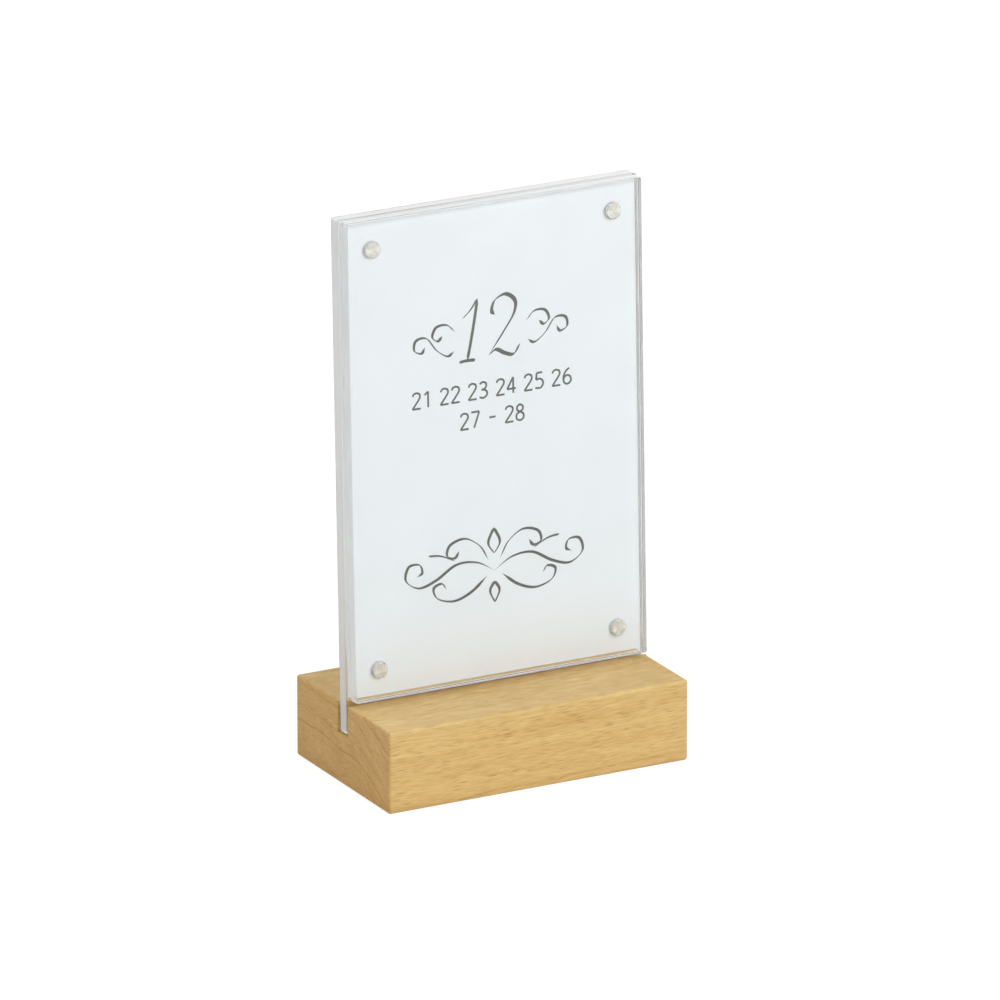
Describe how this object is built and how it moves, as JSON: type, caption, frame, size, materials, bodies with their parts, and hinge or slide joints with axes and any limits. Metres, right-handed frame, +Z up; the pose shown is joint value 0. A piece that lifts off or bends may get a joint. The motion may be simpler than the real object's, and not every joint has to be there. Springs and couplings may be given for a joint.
{
  "type": "card display stand",
  "caption": "Upright card holder: clear panels joined by magnets clamp a card and stand, leaning slightly back, in a slot along an oak block.",
  "frame": {"origin": "middle of the oak block's underside", "axes": "+X along the block and the panels, to the right seen from the front; -Y towards the front, which the card's print faces; +Z up"},
  "size_m": [0.1032, 0.061, 0.1792],
  "materials": {
    "oak": "sanded and oiled, satin",
    "clear_acrylic": "clear cast sheet, satin milled edges",
    "white_card": "smooth matt",
    "nickel": "nickel plated"
  },
  "bodies": {
    "base": {"oak_base": "oak"},
    "rear": {"rear_panel": "clear_acrylic", "rear_magnet_top_left": "nickel", "rear_magnet_top_right": "nickel", "rear_magnet_bottom_left": "nickel", "rear_magnet_bottom_right": "nickel"},
    "sign": {"card": "white_card"},
    "front": {"front_panel": "clear_acrylic", "front_magnet_top_left": "nickel", "front_magnet_top_right": "nickel", "front_magnet_bottom_left": "nickel", "front_magnet_bottom_right": "nickel"}
  },
  "joints": [
    {"name": "panel_lift", "type": "slide", "parent": "base", "child": "rear", "axis": [0, 0.0314, 0.9995], "range_m": [0, 0.03]},
    {"name": "card_slide", "type": "slide", "parent": "rear", "child": "sign", "axis": [0, 0.0314, 0.9995], "range_m": [0, 0.155]},
    {"name": "front_pull", "type": "slide", "parent": "rear", "child": "front", "axis": [0, -0.9995, 0.0314], "range_m": [0, 0.04]}
  ]
}
